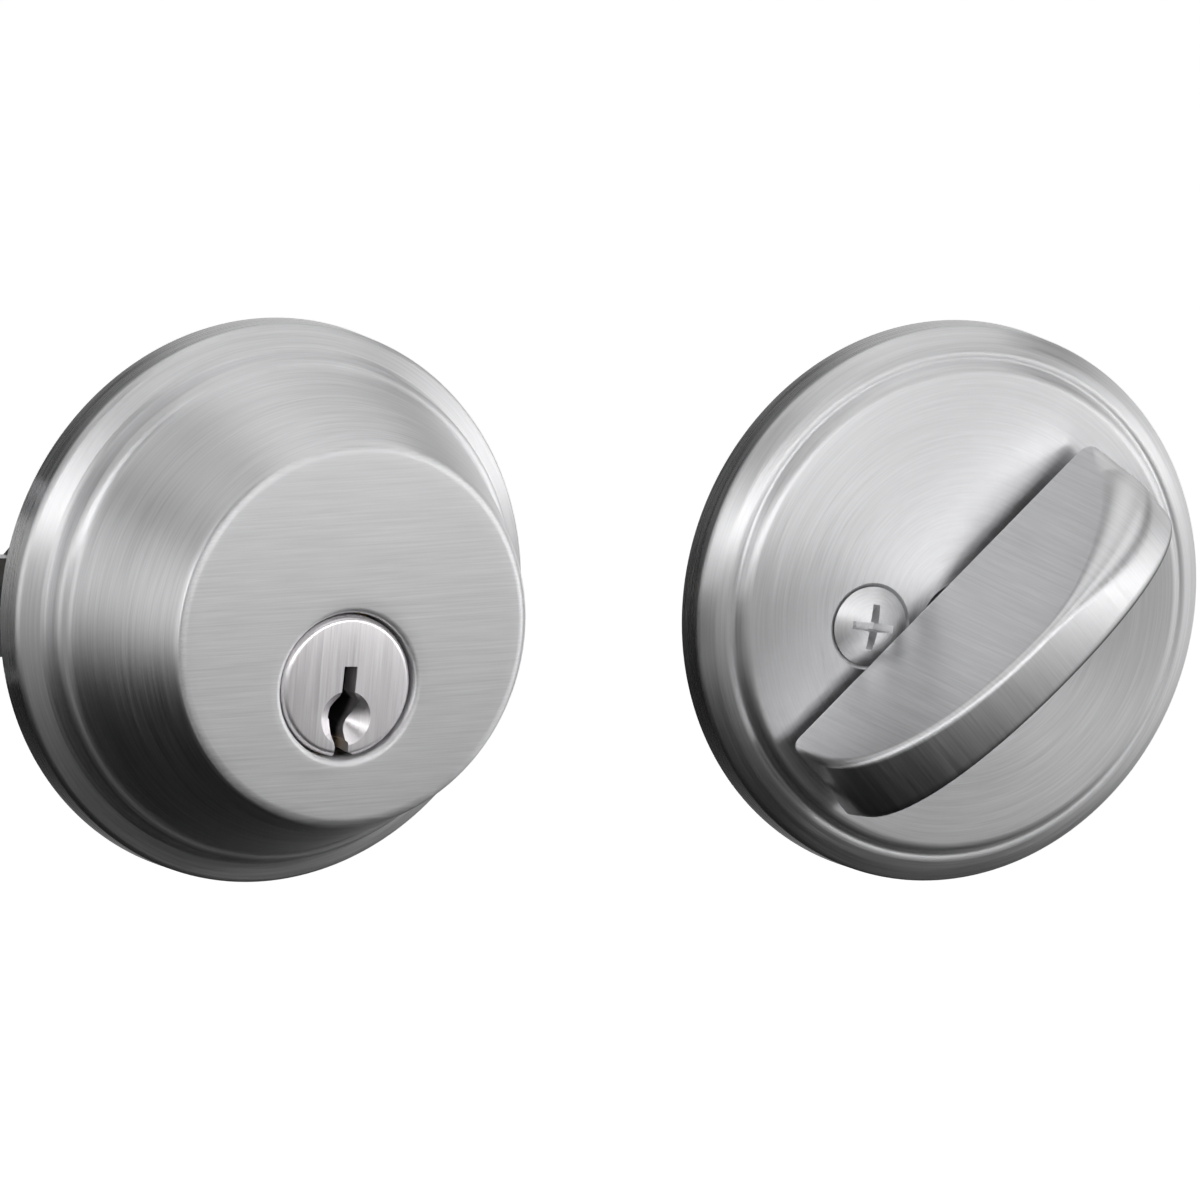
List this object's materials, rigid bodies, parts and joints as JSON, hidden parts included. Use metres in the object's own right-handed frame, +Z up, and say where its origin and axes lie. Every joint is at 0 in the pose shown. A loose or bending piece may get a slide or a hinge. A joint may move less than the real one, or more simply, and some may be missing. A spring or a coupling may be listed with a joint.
{
  "type": "deadbolt door lock",
  "caption": "Single-cylinder deadbolt: domed keyed half, round rose with a D-shaped thumbturn, and the bolt unit with its faceplate, in satin metal.",
  "frame": {"origin": "centre of the door's cross bore in the door's outer face, on the axis of the exterior half", "axes": "+Y goes into the door, +Z is up, +X goes from the exterior half to the interior half beside it; the bolt throws along -X"},
  "size_m": [0.1932, 0.0772, 0.065],
  "materials": {
    "satin_chrome": "satin chrome, brushed",
    "plug_satin": "satin nickel, vertically brushed",
    "steel": "zinc plated steel",
    "spring_steel": "bright spring wire and strip",
    "brass": "machined brass",
    "zinc": "zinc die casting and zinc dichromate"
  },
  "bodies": {
    "root": {"exterior_housing": "satin_chrome", "drill_guard_plate": "steel", "cylinder_shell": "brass", "chamber_cover": "brass", "driver_pin_1": "brass", "driver_pin_2": "brass", "driver_pin_3": "brass", "driver_pin_4": "brass", "driver_pin_5": "brass", "pin_spring_1": "spring_steel", "pin_spring_2": "spring_steel", "pin_spring_3": "spring_steel", "pin_spring_4": "spring_steel", "pin_spring_5": "spring_steel", "cylinder_clamp_plate": "steel", "threaded_post_left": "steel", "threaded_post_right": "steel", "bolt_case": "zinc", "faceplate": "satin_chrome", "support_plate": "steel", "faceplate_screw_lower": "steel", "faceplate_screw_upper": "steel", "interior_rose": "satin_chrome", "backing_plate": "steel", "wave_washer": "spring_steel", "mounting_screw_left": "satin_chrome", "mounting_screw_right": "satin_chrome"},
    "plug": {"key_plug": "plug_satin", "key_pin_1": "brass", "key_pin_2": "brass", "key_pin_3": "brass", "key_pin_4": "brass", "key_pin_5": "brass", "plug_retainer": "brass"},
    "cam": {"tailpiece": "steel", "cam_hub": "zinc"},
    "bolt": {"bolt": "satin_chrome", "anti_saw_pin": "steel", "bolt_link": "steel", "link_rivet": "steel"},
    "thumbturn": {"thumbturn": "satin_chrome", "turn_spindle": "steel", "retaining_clip": "spring_steel"}
  },
  "joints": [
    {"name": "thumbturn_turn", "type": "hinge", "parent": "root", "child": "thumbturn", "pos_m": [0.088, 0, -0.002], "axis": [0, 1, 0], "range_deg": [-45, 45]},
    {"name": "cam_turn", "type": "hinge", "parent": "root", "child": "cam", "pos_m": [0, 0, -0.006], "axis": [0, 1, 0], "range_deg": [-45, 45]},
    {"name": "bolt_slide", "type": "slide", "parent": "root", "child": "bolt", "axis": [-1, 0, 0], "range_m": [-0.0127, 0.0127]},
    {"name": "plug_turn", "type": "hinge", "parent": "root", "child": "plug", "pos_m": [0, 0, -0.006], "axis": [0, 1, 0], "range_deg": [-90, 90]}
  ],
  "couplings": [
    {"joint": "cam_turn", "follows": "thumbturn_turn", "ratio": -1},
    {"joint": "bolt_slide", "follows": "thumbturn_turn", "m_per_rad": 0.01617}
  ]
}
